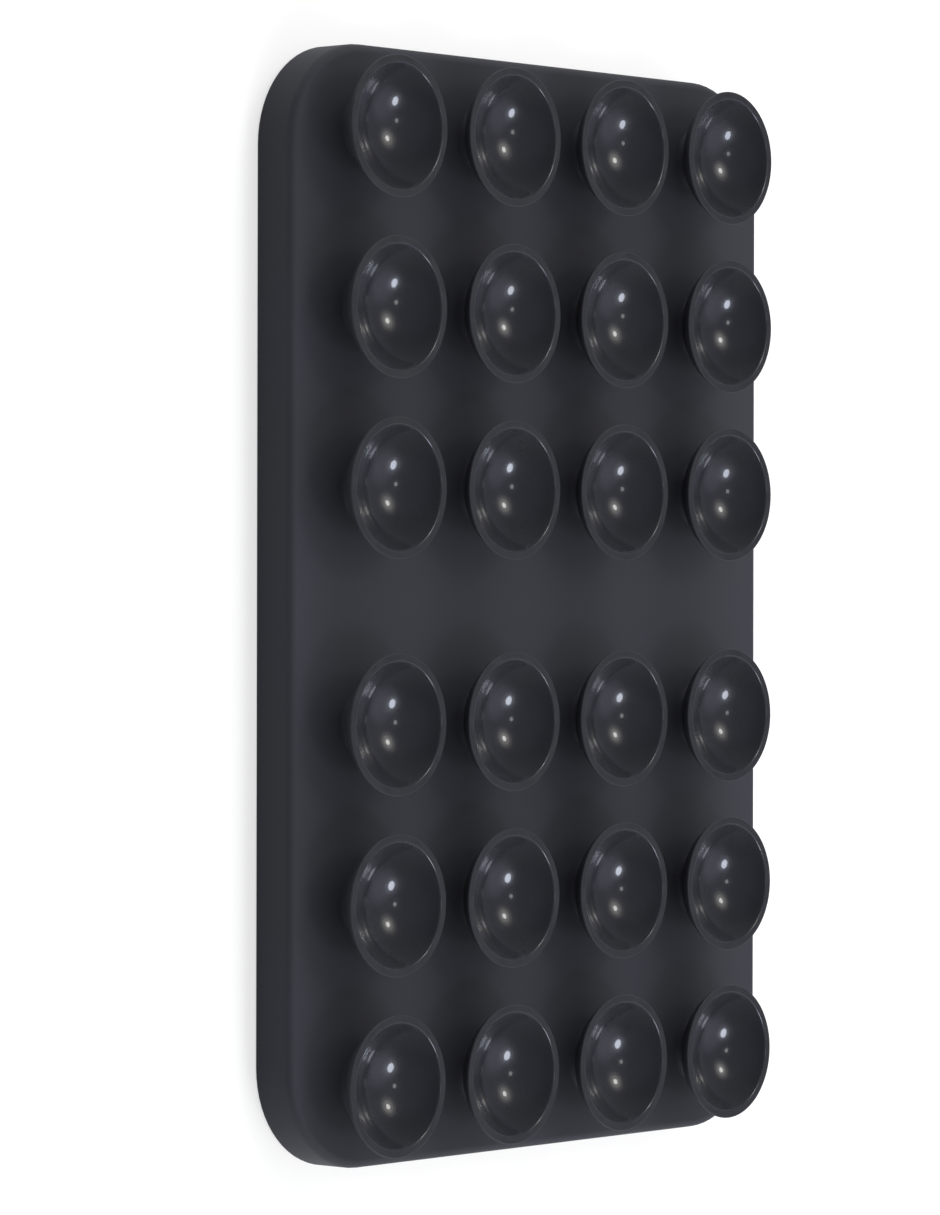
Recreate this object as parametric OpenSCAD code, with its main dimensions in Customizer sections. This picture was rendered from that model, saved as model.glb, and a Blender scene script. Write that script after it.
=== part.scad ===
// Wireless charging phone holder with a field of suction cups.
// It lies on its back: the back is on z = 0, the suction cups point up, and y runs along the long sides.
// The supply inlet is in the end at low y. All lengths are in millimetres.

/* [Body] */
// Width across the short sides
body_w = 71.8; // [71:0.2:80]
// Length along the long sides
body_l = 108.4; // [107:0.2:125]
// Radius of the four corners, seen from the front
corner_r = 10.1; // [9:0.1:11]
// Height of the plastic shell behind the suction mat
shell_h = 3.4; // [3.3:0.1:5]
// Thickness of the shell's side wall
wall_t = 0.7; // [0.6:0.05:0.9]
// Thickness of the shell's front deck
deck_t = 0.7; // [0.6:0.1:0.8]

/* [Suction mat] */
// Thickness of the silicone mat
mat_t = 1.2; // [1:0.1:2]
// Thickness of the skirt with which the mat wraps the shell's side
skirt_t = 0.6; // [0.5:0.05:0.8]
// Rounding of the mat's front edge
mat_edge_r = 0.8; // [0.4:0.1:0.9]
// Rounding of the skirt's edge round the back
back_edge_r = 0.4; // [0.2:0.1:0.5]
// Thickness of the bonding film under the mat
film_t = 0.1; // [0.05:0.05:0.2]

/* [Suction cups] */
// Cups across the width
cup_columns = 4; // [2:1:4]
// Cups along the length
cup_rows = 6; // [4:2:6]
// Distance from the long edge to the middle of the nearest cups
cup_side_inset = 10.325; // [9:0.025:12]
// Distance from the short edge to the middle of the nearest cups
cup_end_inset = 8.125; // [7.5:0.025:10]
// Distance between the two rows on each side of the middle
middle_pitch = 22.75; // [18:0.05:23]
// Free space between the lips of neighbouring cups
cup_gap = 3.15; // [2:0.05:4]
// Width of the flat lip round a cup
lip_w = 0.87; // [0.6:0.01:1.1]
// Depth of a cup's bowl
bowl_depth = 3.35; // [2.8:0.05:3.5]
// Height of a cup's lip above the mat
cup_h = 4.6; // [4.4:0.1:6]
// Diameter of the neck that carries a cup
neck_d = 5.6; // [4:0.1:6]
// How far a rim can be pressed down
cup_travel = 2; // [1:0.1:2]

/* [Back cover] */
// Thickness of the back cover
cover_t = 0.8; // [0.7:0.05:1]
// Diameter of a cover screw's thread
screw_d = 1.4; // [1.2:0.1:1.6]
// Diameter of a cover screw's head
screw_head_d = 2.6; // [2.2:0.1:3]
// Length of a cover screw
screw_l = 2.2; // [1.8:0.1:2.3]

/* [Charging coil] */
// Radius to the middle of the innermost turn
coil_inner_r = 10.7; // [9:0.1:12]
// Half turns of the flat winding, an odd count
coil_half_turns = 21; // [15:2:23]
// Distance between turns
coil_pitch = 1; // [0.95:0.01:1.05]
// Width of the flattened litz wire
wire_w = 0.9; // [0.7:0.05:0.9]
// Height of the flattened litz wire
wire_h = 0.8; // [0.6:0.05:0.8]
// Side of the square ferrite sheet
ferrite_side = 48; // [47:0.5:54]
// Thickness of the ferrite sheet
ferrite_t = 0.6; // [0.5:0.05:0.6]

/* [Circuit board] */
// Length of the circuit board
board_l = 22.4; // [21.5:0.1:22.6]
// Thickness of the circuit board
board_t = 0.6; // [0.5:0.1:0.7]

/* [Inlet] */
// Width of the inlet's shell
inlet_w = 8.94; // [8.8:0.02:9.2]
// Height of the inlet's shell
inlet_h = 2.96; // [2.9:0.02:3]
// Length of the inlet's shell
inlet_l = 7.3; // [6.5:0.1:7.5]
// Thickness of the inlet's sheet metal
inlet_sheet = 0.2; // [0.15:0.01:0.25]

/* [Hidden] */
$fn = 96;
// Clearance of a loose fit, of a tight fit, and the overrun of a cut
fit_gap = 0.1;
snug_gap = 0.02;
overrun = 1;

// Levels above the back
deck_z = shell_h - deck_t;
cavity_h = deck_z - cover_t;
mat_z = shell_h + film_t;
face_z = mat_z + mat_t;
rim_z = face_z + cup_h;

// Shell, in the nest inside the mat's skirt
nest_w = body_w - 2 * skirt_t;
nest_l = body_l - 2 * skirt_t;
nest_r = corner_r - skirt_t;
shell_w = nest_w - 2 * snug_gap;
shell_l = nest_l - 2 * snug_gap;
shell_r = nest_r - snug_gap;
inner_w = shell_w - 2 * wall_t;
inner_l = shell_l - 2 * wall_t;
inner_r = shell_r - wall_t;
shell_edge_r = 0.2;
film_inset = 0.3;

// Suction cups: both faces of the wall are spheres about one centre, cut off by the plane of the lips
column_pitch = (body_w - 2 * cup_side_inset) / (cup_columns - 1);
row_pitch = (body_l / 2 - cup_end_inset - middle_pitch / 2) / (cup_rows / 2 - 1);
cup_d = min(column_pitch, row_pitch) - cup_gap;
cup_r = cup_d / 2;
bowl_mouth_r = cup_r - lip_w;
bowl_r = (pow(bowl_mouth_r, 2) + pow(bowl_depth, 2)) / (2 * bowl_depth);
bowl_centre_z = rim_z - bowl_depth + bowl_r;
cup_outer_r = sqrt(pow(cup_r, 2) + pow(bowl_r - bowl_depth, 2));
cup_wall = cup_outer_r - bowl_r;
neck_skin_share = 0.1;
neck_top_z = rim_z - bowl_depth - cup_wall * neck_skin_share;
rim_h = 0.8;
foot_top_z = rim_z - cup_travel - rim_h - fit_gap;

// Back cover and its screws
cover_w = inner_w - 2 * fit_gap;
cover_l = inner_l - 2 * fit_gap;
cover_r = inner_r - fit_gap;
boss_r = 2.1;
boss_inset = 2.3;
boss_corner_inset = 4.3;
screw_head_h = 0.55;
drive_r = 0.45;
drive_arm_w = 0.22;
drive_depth = 0.3;
boss_places = [
    for (sx = [-1, 1])
        for (sy = [-1, 0, 1])
            [
                sx * (inner_w / 2 - (sy == 0 ? boss_inset : boss_corner_inset)),
                sy * (inner_l / 2 - boss_corner_inset)
            ]
];

// Circuit board: it lies between posts under the deck and pads on the cover
board_pad_t = 0.2;
board_z = cover_t + board_pad_t;
board_top_z = board_z + board_t;
board_end_gap = 0.4;
board_boss_gap = 1.4;
board_w = inner_w - 2 * (boss_corner_inset + boss_r + board_boss_gap);
board_low_y = -inner_l / 2 + board_end_gap;
board_high_y = board_low_y + board_l;
board_corner_r = 1.5;
board_mid_y = (board_low_y + board_high_y) / 2;
post_r = 0.9;
post_inset = 2;
pad_r = 1.3;
post_places = [
    for (sx = [-1, 1])
        for (y = [board_low_y + post_inset, board_high_y - post_inset])
            [sx * (board_w / 2 - post_inset), y]
];

// Coil stack, from the deck down. It lies next to the board.
tape_t = 0.1;
foil_t = 0.1;
coil_top_z = deck_z - tape_t;
coil_z = coil_top_z - wire_h;
ferrite_z = coil_z - ferrite_t;
foil_z = ferrite_z - foil_t;
foam_t = foil_z - cover_t;
ferrite_board_gap = 6.08;
coil_y = board_high_y + ferrite_board_gap + ferrite_side / 2;
ferrite_corner_r = 2;
foam_r = 9;
coil_outer_r = coil_inner_r + (coil_half_turns - 1) * coil_pitch / 2;

// Inlet in the end wall
inlet_z = shell_h / 2;
inlet_y = -shell_l / 2;
inlet_mouth_w = 8.6;
inlet_mouth_h = 2.66;
inlet_pocket_gap = 0.05;
inlet_back_l = 1.2;
notch_gap = 0.3;
tab_w = 1.1;
tab_l = 1;
tab_t = 0.2;
tab_end_inset = 1;
tongue_w = 6.7;
tongue_t = 0.7;
tongue_l = 4.45;
contact_count = 12;
contact_pitch = 0.5;
contact_w = 0.25;
contact_l = 3.6;
contact_t = 0.05;

// Leads of the coil, in a slot of the ferrite sheet
lead_h = 0.45;
lead_land_l = 2.2;
slot_gap = 0.3;
flex_w = 1.2;
flex_t = 0.15;
lead_x = coil_inner_r - coil_pitch / 4;
outer_lead_x = -coil_outer_r - coil_pitch / 4;
slot_low_x = lead_x - wire_w / 2 - slot_gap - flex_w - slot_gap;
slot_high_x = lead_x + wire_w / 2 + slot_gap;
slot_top_y = flex_w + slot_gap;
lead_rise_y = coil_y - ferrite_side / 2 - wire_w;
lead_end_y = board_high_y - lead_land_l;
solder_low_r = 0.9;
solder_high_r = 0.7;
solder_h = 0.6;
thermistor_size = [1.6, 0.8, 0.6];

// Chips and parts on the board: [x, y] measured from the board's middle
controller_size = [5, 5, 0.85];
controller_place = [-9, 0.5];
bridge_size = [3.3, 3.3, 0.8];
bridge_pitch = 5;
bridge_place = [0.5, 3.5];
crystal_size = [2.5, 2, 0.6];
crystal_place = [-9, 5.6];
inductor_size = [4, 4, 0.95];
inductor_inlet_gap = 4.03;
inductor_place = [inlet_w / 2 + inductor_inlet_gap + inductor_size[0] / 2, -4.5];
resonant_size = [3.2, 1.6, 0.95];
resonant_count = 4;
resonant_pitch = 2.4;
resonant_edge_inset = 4;
resonant_place = [-board_w / 2 + resonant_edge_inset, 0];
buffer_size = [2, 1.25, 0.9];
buffer_count = 4;
buffer_pitch = 2.2;
buffer_inductor_gap = 4;
buffer_place = [
    inductor_place[0] + (inductor_size[0] + buffer_size[0]) / 2 + buffer_inductor_gap,
    -3.3
];
small_size = [1, 0.5, 0.5];
small_count = 5;
small_pitch = 1.1;
small_place = [-14, -2];
resistor_size = [1, 0.5, 0.35];
resistor_count = 6;
resistor_pitch = 1.1;
resistor_place = [-4, 0.5];
led_size = [1.6, 0.8, 0.6];
led_x = 13;
pipe_d = 1;
pipe_flange_d = 1.5;
pipe_flange_t = 0.3;
pipe_z = board_top_z + led_size[2] / 2;
thermal_pad_size = [26, 12];
gap_pad_r = 1;

cup_places = [
    for (row = [1 : cup_rows])
        for (column = [1 : cup_columns])
            [column, row]
];

function cup_x(column) = (column - (cup_columns + 1) / 2) * column_pitch;
function cup_y(row) =
    let (steps = (cup_rows + 1) / 2 - row, side = sign(steps))
    side * (middle_pitch / 2 + (abs(steps) - 1 / 2) * row_pitch);
function rim_name(column, row) = str("suction_rim_", row, "_", column);

// A flat plate with round corners
module round_plate(w, l, r, h) {
    translate([-w / 2 + r, -l / 2, 0])
        cube([w - 2 * r, l, h]);
    translate([-w / 2, -l / 2 + r, 0])
        cube([w, l - 2 * r, h]);
    for (sx = [-1, 1])
        for (sy = [-1, 1])
            translate([sx * (w / 2 - r), sy * (l / 2 - r), 0])
                cylinder(r = r, h = h);
}

// Carries an upright profile round a rectangle with round corners.
// The profile's first axis is the distance from the middle of the corner.
module round_the_edge(w, l, r) {
    for (turn = [0, 90, 180, 270]) {
        long_way = turn % 180 == 0;
        half_x = (long_way ? w : l) / 2 - r;
        half_y = (long_way ? l : w) / 2 - r;
        rotate(turn) {
            translate([half_x, half_y, 0])
                rotate_extrude(angle = 90)
                    children();
            translate([half_x, half_y, 0])
                rotate([90, 0, 0])
                    linear_extrude(2 * half_y)
                        children();
        }
    }
}

// The upright profile of a plate's margin, with its lower and upper outer edges rounded
module margin_profile(r, h, low_r, high_r) {
    square([r - high_r, h]);
    translate([0, low_r])
        square([r, h - low_r - high_r]);
    square([r - low_r, h - high_r]);
    intersection() {
        translate([r - high_r, h - high_r])
            circle(high_r);
        translate([0, h - high_r])
            square([r, high_r]);
    }
    intersection() {
        translate([r - low_r, low_r])
            circle(low_r);
        square([r, low_r]);
    }
}

// A plate with round corners and rounded lower and upper outer edges
module soft_plate(w, l, r, h, low_r, high_r) {
    translate([-w / 2 + r, -l / 2 + r, 0])
        cube([w - 2 * r, l - 2 * r, h]);
    round_the_edge(w, l, r)
        margin_profile(r, h, low_r, high_r);
}

// A bar along y with a slot-shaped section, standing on its low end at y = 0
module slot_bar(w, h, l) {
    translate([-w / 2 + h / 2, 0, -h / 2])
        cube([w - h, l, h]);
    for (sx = [-1, 1])
        translate([sx * (w - h) / 2, 0, 0])
            rotate([-90, 0, 0])
                cylinder(d = h, h = l);
}

// A box centred on x and y, standing on z = 0
module chip(size) {
    translate([-size[0] / 2, -size[1] / 2, 0])
        cube(size);
}

// Puts its child on the board's upper face, at a place from the board's middle
module on_board(place) {
    translate([place[0], board_mid_y + place[1], board_top_z])
        children();
}

// Repeats its child in a row along y, centred
module file_of(count, pitch) {
    for (i = [0 : count - 1])
        translate([0, (i - (count - 1) / 2) * pitch, 0])
            children();
}

// Puts its child on the axis of every cup
module at_cups() {
    for (place = cup_places)
        translate([cup_x(place[0]), cup_y(place[1]), 0])
            children();
}

// The part of a cup's wall that lies between two heights
module cup_band(low_z, high_z) {
    difference() {
        intersection() {
            translate([0, 0, bowl_centre_z])
                sphere(cup_outer_r);
            translate([0, 0, low_z])
                cylinder(r = cup_r + overrun, h = high_z - low_z);
        }
        translate([0, 0, bowl_centre_z])
            sphere(bowl_r);
    }
}

// Cuts the light pipe's hole through the end of the shell and of the skirt
module pipe_hole() {
    translate([led_x, -body_l / 2 - overrun, pipe_z])
        rotate([-90, 0, 0])
            cylinder(d = pipe_d + 2 * snug_gap, h = (body_l - inner_l) / 2 + 2 * overrun);
}

// Plastic housing: side wall and front deck in one moulding
module front_shell() {
    color("#303136")
        difference() {
            union() {
                difference() {
                    soft_plate(shell_w, shell_l, shell_r, shell_h, shell_edge_r, shell_edge_r);
                    translate([0, 0, -overrun])
                        round_plate(inner_w, inner_l, inner_r, deck_z + overrun);
                }
                for (place = boss_places)
                    translate([place[0], place[1], cover_t])
                        cylinder(r = boss_r, h = cavity_h + deck_t / 2);
                for (place = post_places)
                    translate([place[0], place[1], board_top_z])
                        cylinder(r = post_r, h = deck_z - board_top_z + deck_t / 2);
            }
            for (place = boss_places)
                translate([place[0], place[1], cover_t - overrun])
                    cylinder(d = screw_d + 2 * snug_gap, h = screw_l - cover_t + overrun + fit_gap);
            translate([0, inlet_y - overrun, inlet_z])
                slot_bar(
                    inlet_w + 2 * inlet_pocket_gap,
                    inlet_h + 2 * inlet_pocket_gap,
                    inlet_l + inlet_pocket_gap + overrun
                );
            pipe_hole();
        }
}

// Plate that closes the back, with countersunk screw holes and pads that carry the board
module back_cover() {
    color("#2e2f33")
        difference() {
            union() {
                round_plate(cover_w, cover_l, cover_r, cover_t);
                for (place = post_places)
                    translate([place[0], place[1], cover_t / 2])
                        cylinder(r = pad_r, h = cover_t / 2 + board_pad_t);
            }
            for (place = boss_places)
                translate([place[0], place[1], 0]) {
                    translate([0, 0, -overrun])
                        cylinder(d = screw_d + 2 * fit_gap, h = cover_t + 2 * overrun);
                    translate([0, 0, -overrun])
                        cylinder(d = screw_head_d + 2 * snug_gap, h = screw_head_h + overrun);
                }
            translate([0, inlet_y - overrun, inlet_z])
                slot_bar(
                    inlet_w + 2 * inlet_pocket_gap,
                    inlet_h + 2 * inlet_pocket_gap,
                    inlet_l + inlet_pocket_gap + overrun
                );
        }
}

// Six screws with flat heads and cross recesses
module cover_screws() {
    color("#3a3a3e")
        for (place = boss_places)
            translate([place[0], place[1], 0])
                difference() {
                    union() {
                        cylinder(d = screw_head_d, h = screw_head_h);
                        cylinder(d = screw_d, h = screw_l);
                    }
                    for (turn = [0, 90])
                        rotate(turn)
                            translate([-drive_r, -drive_arm_w / 2, -overrun])
                                cube([2 * drive_r, drive_arm_w, drive_depth + overrun]);
                }
}

// Bonding film between the shell's deck and the mat
module mat_adhesive() {
    color("#202024")
        translate([0, 0, shell_h])
            round_plate(
                shell_w - 2 * film_inset,
                shell_l - 2 * film_inset,
                shell_r - film_inset,
                film_t
            );
}

// Silicone mat with a rounded front edge, and the skirt that wraps the shell's side
module suction_mat() {
    color("#3a3b40")
        difference() {
            soft_plate(body_w, body_l, corner_r, face_z, back_edge_r, mat_edge_r);
            translate([0, 0, -overrun])
                round_plate(nest_w, nest_l, nest_r, mat_z + overrun);
            translate([0, -body_l / 2 - overrun, inlet_z])
                slot_bar(inlet_mouth_w, inlet_mouth_h, skirt_t + 2 * overrun);
            pipe_hole();
        }
}

// Necks of the cups, each with the bottom of its bowl
module cup_feet() {
    color("#3a3b40")
        at_cups() {
            translate([0, 0, face_z])
                cylinder(d = neck_d, h = neck_top_z - face_z);
            cup_band(face_z, foot_top_z);
        }
}

// Thin sides of the bowls, which fold when a cup is pressed
module cup_walls() {
    color("#3a3b40")
        at_cups()
            cup_band(foot_top_z, rim_z - rim_h);
}

// Stiff rim of one cup, with its flat lip
module suction_rim(column, row) {
    color("#44454b")
        translate([cup_x(column), cup_y(row), 0])
            cup_band(rim_z - rim_h, rim_z);
}

// Flat winding: half circles about two centres by turns, each half a pitch wider than the last
module charging_coil() {
    color("#b87333")
        translate([-coil_pitch / 4, coil_y, coil_z])
            for (i = [0 : coil_half_turns - 1])
                translate([i % 2 * coil_pitch / 2, 0, 0])
                    rotate(i % 2 * 180)
                        rotate_extrude(angle = 180)
                            translate([coil_inner_r + i * coil_pitch / 2 - wire_w / 2, 0])
                                square([wire_w, wire_h]);
}

// Both ends of the winding, led to the board: one through the ferrite's slot, one beside the coil
module coil_leads() {
    color("#b87333") {
        translate([lead_x - wire_w / 2, coil_y - wire_w, coil_z - lead_h])
            cube([wire_w, wire_w, lead_h + wire_h]);
        translate([lead_x - wire_w / 2, lead_rise_y, coil_z - lead_h])
            cube([wire_w, coil_y - lead_rise_y, lead_h]);
        translate([lead_x - wire_w / 2, lead_rise_y, coil_z - lead_h])
            cube([wire_w, wire_w, board_top_z + lead_h - coil_z + lead_h]);
        translate([lead_x - wire_w / 2, lead_end_y, board_top_z])
            cube([wire_w, lead_rise_y + wire_w - lead_end_y, lead_h]);
        translate([outer_lead_x - wire_w / 2, lead_rise_y, coil_z])
            cube([wire_w, coil_y - lead_rise_y, wire_h]);
        translate([outer_lead_x - wire_w / 2, lead_rise_y, board_top_z])
            cube([wire_w, wire_w, coil_z + wire_h - board_top_z]);
        translate([outer_lead_x - wire_w / 2, lead_end_y, board_top_z])
            cube([wire_w, lead_rise_y + wire_w - lead_end_y, lead_h]);
    }
}

// Ring of adhesive tape that holds the coil to the deck
module coil_tape() {
    color("#c9b458")
        translate([0, coil_y, coil_top_z])
            difference() {
                cylinder(r = coil_outer_r, h = tape_t);
                translate([0, 0, -overrun])
                    cylinder(r = coil_inner_r + coil_pitch, h = tape_t + 2 * overrun);
            }
}

// Ferrite sheet behind the coil, slotted for the inner lead and the sensor
module ferrite_sheet() {
    color("#4b4745")
        translate([0, coil_y, ferrite_z])
            difference() {
                round_plate(ferrite_side, ferrite_side, ferrite_corner_r, ferrite_t);
                translate([slot_low_x, -ferrite_side / 2 - overrun, -overrun])
                    cube([
                        slot_high_x - slot_low_x,
                        ferrite_side / 2 + slot_top_y + overrun,
                        ferrite_t + 2 * overrun
                    ]);
            }
}

// Foil behind the ferrite sheet
module shield_foil() {
    color("#c8c8cc")
        translate([0, coil_y, foil_z])
            round_plate(ferrite_side, ferrite_side, ferrite_corner_r, foil_t);
}

// Foam that presses the coil stack against the deck
module foam_pad() {
    color("#55565a")
        translate([0, coil_y, cover_t])
            round_plate(ferrite_side, ferrite_side, foam_r, foam_t);
}

// Flexible strip that carries the temperature sensor to the board
module sensor_flex() {
    flex_x = slot_low_x + slot_gap;
    color("#c98b2b") {
        translate([flex_x, lead_rise_y, ferrite_z])
            cube([flex_w, coil_y + flex_w - lead_rise_y, flex_t]);
        translate([flex_x, lead_rise_y, ferrite_z])
            cube([flex_w, flex_t, board_top_z - ferrite_z + flex_t]);
        translate([flex_x, lead_end_y, board_top_z])
            cube([flex_w, lead_rise_y + flex_t - lead_end_y, flex_t]);
    }
}

// Temperature sensor inside the coil
module thermistor() {
    color("#27282c")
        translate([
            slot_low_x + slot_gap + flex_w / 2,
            coil_y + flex_w - thermistor_size[0] / 2,
            ferrite_z + flex_t
        ])
            rotate(90)
                chip(thermistor_size);
}

// Circuit board, notched for the inlet
module circuit_board() {
    color("#1f5a3a")
        translate([0, 0, board_z])
            difference() {
                translate([0, board_mid_y, 0])
                    round_plate(board_w, board_l, board_corner_r, board_t);
                translate([-inlet_w / 2 - notch_gap, board_low_y - overrun, -overrun])
                    cube([
                        inlet_w + 2 * notch_gap,
                        inlet_y + inlet_l + notch_gap - board_low_y + overrun,
                        board_t + 2 * overrun
                    ]);
            }
}

// Soft pad that leads heat from the board to the back cover
module thermal_pad() {
    color("#8f9bb3")
        translate([0, board_high_y - thermal_pad_size[1] / 2 - post_inset, cover_t])
            round_plate(thermal_pad_size[0], thermal_pad_size[1], gap_pad_r, board_pad_t);
}

// Sheet metal tube of the inlet, with four tabs on the board
module inlet_shell() {
    color("#b9bbc0") {
        translate([0, inlet_y, inlet_z])
            difference() {
                slot_bar(inlet_w, inlet_h, inlet_l);
                translate([0, -overrun, 0])
                    slot_bar(
                        inlet_w - 2 * inlet_sheet,
                        inlet_h - 2 * inlet_sheet,
                        inlet_l + 2 * overrun
                    );
            }
        for (sx = [-1, 1])
            for (y = [inlet_y + tab_end_inset, inlet_y + inlet_l - tab_end_inset - tab_l])
                translate([
                    sx * (inlet_w / 2 - inlet_sheet / 2) - (sx < 0 ? tab_w : 0),
                    y,
                    board_top_z
                ])
                    cube([tab_w, tab_l, tab_t]);
    }
}

// Plastic core of the inlet: a block at the back and the tongue
module inlet_insulator() {
    core_w = inlet_w - 2 * inlet_sheet - 2 * snug_gap;
    core_h = inlet_h - 2 * inlet_sheet - 2 * snug_gap;
    block_y = inlet_y + inlet_l - inlet_back_l;
    color("#1c1c1f") {
        translate([0, block_y, inlet_z])
            slot_bar(core_w, core_h, inlet_back_l);
        translate([-tongue_w / 2, block_y - tongue_l, inlet_z - tongue_t / 2])
            cube([tongue_w, tongue_l + inlet_back_l / 2, tongue_t]);
    }
}

// Gold contacts on both faces of the tongue
module inlet_contacts() {
    contact_y = inlet_y + inlet_l - inlet_back_l - contact_l;
    color("#d4a843")
        for (side = [-1, 1])
            for (i = [0 : contact_count - 1])
                translate([
                    (i - (contact_count - 1) / 2) * contact_pitch - contact_w / 2,
                    contact_y,
                    inlet_z + side * tongue_t / 2 - (side < 0 ? contact_t : 0)
                ])
                    cube([contact_w, contact_l, contact_t]);
}

// Controller
module controller_chip() {
    color("#1a1a1c")
        on_board(controller_place)
            chip(controller_size);
}

// Two power switch chips that drive the coil
module bridge_chips() {
    color("#1a1a1c")
        for (i = [0, 1])
            on_board([bridge_place[0] + i * bridge_pitch, bridge_place[1]])
                chip(bridge_size);
}

// Quartz crystal
module crystal() {
    color("#c9cbd0")
        on_board(crystal_place)
            chip(crystal_size);
}

// Power inductor
module power_inductor() {
    color("#4a4a4d")
        on_board(inductor_place)
            chip(inductor_size);
}

// Capacitors that tune the coil
module resonant_capacitors() {
    color("#a98a5c")
        on_board(resonant_place)
            file_of(resonant_count, resonant_pitch)
                chip(resonant_size);
}

// Capacitors that smooth the supply
module buffer_capacitors() {
    color("#a98a5c")
        on_board(buffer_place)
            file_of(buffer_count, buffer_pitch)
                chip(buffer_size);
}

// Small capacitors beside the controller
module small_capacitors() {
    color("#b79a6c")
        on_board(small_place)
            file_of(small_count, small_pitch)
                chip(small_size);
}

// Chip resistors
module chip_resistors() {
    color("#18181a")
        on_board(resistor_place)
            file_of(resistor_count, resistor_pitch)
                chip(resistor_size);
}

// Solder on the board's lands at the ends of the leads
module solder_joints() {
    color("#c6c8cc")
        for (x = [lead_x, outer_lead_x])
            translate([x, lead_end_y, board_top_z])
                difference() {
                    cylinder(r1 = solder_low_r, r2 = solder_high_r, h = solder_h);
                    translate([-wire_w / 2, 0, -overrun])
                        cube([wire_w, solder_low_r + overrun, lead_h + overrun]);
                }
}

// Side-shining lamp at the board's low edge
module status_led() {
    color("#e8e6da")
        translate([led_x, board_low_y + led_size[1] / 2, board_top_z])
            chip(led_size);
}

// Clear rod that carries the lamp's light through the end wall
module light_pipe() {
    end_t = (body_l - inner_l) / 2;
    color("#dfe6ea", 0.6)
        translate([led_x, -body_l / 2, pipe_z])
            rotate([-90, 0, 0]) {
                cylinder(d = pipe_d, h = end_t + pipe_flange_t);
                translate([0, 0, end_t])
                    cylinder(d = pipe_flange_d, h = pipe_flange_t);
            }
}

front_shell();
back_cover();
cover_screws();
mat_adhesive();
suction_mat();
cup_feet();
cup_walls();
charging_coil();
coil_leads();
coil_tape();
ferrite_sheet();
shield_foil();
foam_pad();
sensor_flex();
thermistor();
circuit_board();
thermal_pad();
inlet_shell();
inlet_insulator();
inlet_contacts();
controller_chip();
bridge_chips();
crystal();
power_inductor();
resonant_capacitors();
buffer_capacitors();
small_capacitors();
chip_resistors();
solder_joints();
status_led();
light_pipe();
for (place = cup_places)
    suction_rim(place[0], place[1]);
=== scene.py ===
import math

import bpy
from bpy.props import FloatProperty, FloatVectorProperty, IntProperty, PointerProperty
from mathutils import Matrix, Vector


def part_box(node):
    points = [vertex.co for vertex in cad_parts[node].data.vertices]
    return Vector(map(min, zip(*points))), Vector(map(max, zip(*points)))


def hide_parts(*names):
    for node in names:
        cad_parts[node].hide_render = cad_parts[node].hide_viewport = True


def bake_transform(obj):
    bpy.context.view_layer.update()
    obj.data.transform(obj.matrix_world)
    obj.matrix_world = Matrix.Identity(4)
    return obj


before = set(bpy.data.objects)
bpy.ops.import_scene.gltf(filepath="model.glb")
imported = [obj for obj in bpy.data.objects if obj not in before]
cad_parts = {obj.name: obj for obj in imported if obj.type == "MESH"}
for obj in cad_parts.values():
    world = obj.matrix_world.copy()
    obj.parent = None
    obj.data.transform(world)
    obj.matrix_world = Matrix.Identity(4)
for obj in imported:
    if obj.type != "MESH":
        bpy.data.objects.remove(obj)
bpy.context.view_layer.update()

bl_info = {
    "name": "Suction charging pad",
    "version": (1, 0, 0),
    "blender": (4, 5, 0),
    "location": "3D View > Sidebar > Charging pad",
    "description": "Builds and finishes the pieces of a charging pad that holds a phone with suction cups",
    "category": "Add Mesh",
}

MM = 0.001
SILICONE_IOR = 1.41
PLASTIC_IOR = 1.5
ACRYLIC_IOR = 1.49
METAL = 1.0
NO_METAL = 0.0
# Finer steps of a noise: few in soft clouds, more in a grain
CLOUD_DETAIL = 2.0
GRAIN_DETAIL = 3.0
# Most values of a noise lie between these
NOISE_LOW = 0.3
NOISE_HIGH = 0.7
# Row 1 lies at the end away from the inlet, and column 1 on the left
ROWS = range(1, 7)
COLUMNS = range(1, 5)


def rim_node(row, column):
    """Name of the CAD node of one cup's rim."""
    return f"suction_rim_{row}_{column}"


def linear(hex_colour):
    """An sRGB hex colour as linear RGBA."""
    def channel(text):
        value = int(text, 16) / 255
        return value / 12.92 if value <= 0.04045 else ((value + 0.055) / 1.055) ** 2.4
    return [channel(hex_colour[i:i + 2]) for i in (1, 3, 5)] + [1.0]


RIM_LOW, RIM_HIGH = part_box(rim_node(1, 1))
LIP_Z = RIM_HIGH.z
FACE_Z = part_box("suction_mat")[1].z


# Sizes and colours that a user would change

class CupSettings(bpy.types.PropertyGroup):
    radius: FloatProperty(
        name="Radius", description="Outer radius of the lip",
        default=(RIM_HIGH.x - RIM_LOW.x) / 2, unit="LENGTH")
    lip_width: FloatProperty(
        name="Lip width", description="Width of the flat lip with its two roundings",
        default=0.87 * MM, unit="LENGTH")
    bowl_depth: FloatProperty(
        name="Bowl depth", description="Depth of the bowl below the lip",
        default=3.35 * MM, unit="LENGTH")
    inner_rounding: FloatProperty(
        name="Inner rounding", description="Rounding between the lip and the bowl",
        default=0.3 * MM, unit="LENGTH")
    outer_rounding: FloatProperty(
        name="Outer rounding", description="Rounding of the lip's outer edge",
        default=0.12 * MM, unit="LENGTH")
    neck_radius: FloatProperty(
        name="Neck radius", description="Radius of the neck that carries the cup",
        default=2.8 * MM, unit="LENGTH")
    neck_fillet: FloatProperty(
        name="Neck fillet", description="Radius of the moulded fillet between neck and mat",
        default=0.5 * MM, unit="LENGTH")
    segments: IntProperty(
        name="Segments", description="Steps round a cup", default=96, min=24, max=160)


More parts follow.
